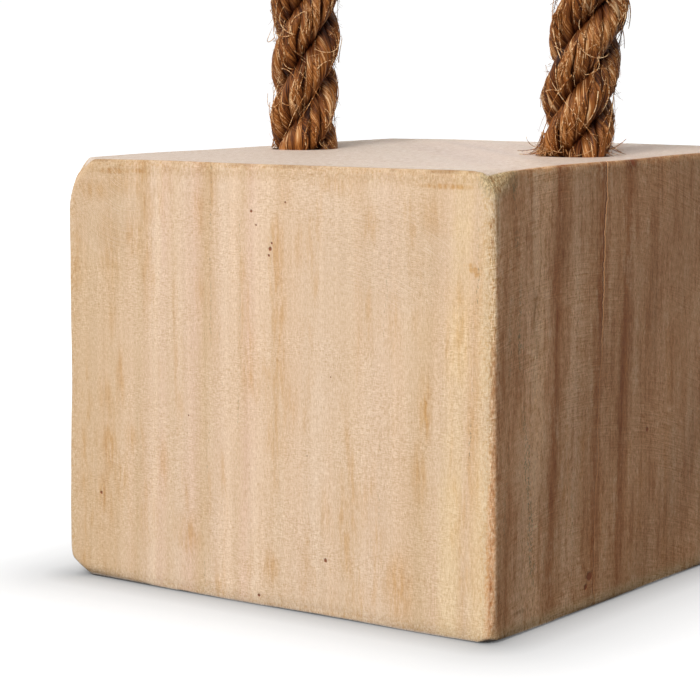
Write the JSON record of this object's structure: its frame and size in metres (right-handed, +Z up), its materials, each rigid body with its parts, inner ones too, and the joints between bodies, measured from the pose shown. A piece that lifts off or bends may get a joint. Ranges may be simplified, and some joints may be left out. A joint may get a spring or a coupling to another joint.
{
  "type": "rope-handled wooden block door stop",
  "caption": "Heavy sanded wooden block that stands flat on the floor and is lifted by a thick loop of laid rope pinned into its top.",
  "frame": {"origin": "centre of the block's flat underside, on the surface it stands on", "axes": "+X along the front face towards the leg of the loop that leans outwards, +Y to the back face with the pin ends, +Z up"},
  "size_m": [0.15, 0.166, 0.2525],
  "materials": {
    "block_wood": "pale hardwood, sanded, unfinished",
    "rope": "three-strand laid manila, coarse and fibrous",
    "twine": "waxed linen twine, wound",
    "pin_wood": "turned hardwood dowel, glued and sanded flush"
  },
  "bodies": {
    "root": {"block": "block_wood", "rope_end_left": "rope", "rope_end_right": "rope", "whipping_left": "twine", "whipping_right": "twine", "cross_pin_left": "pin_wood", "cross_pin_right": "pin_wood"},
    "loop": {"rope_loop": "rope"}
  },
  "joints": [
    {"name": "loop_tilt", "type": "hinge", "parent": "root", "child": "loop", "pos_m": [0, 0, 0.1363], "axis": [1, 0, 0], "range_deg": [-35, 35], "stiffness_Nm_per_rad": 1.2}
  ]
}
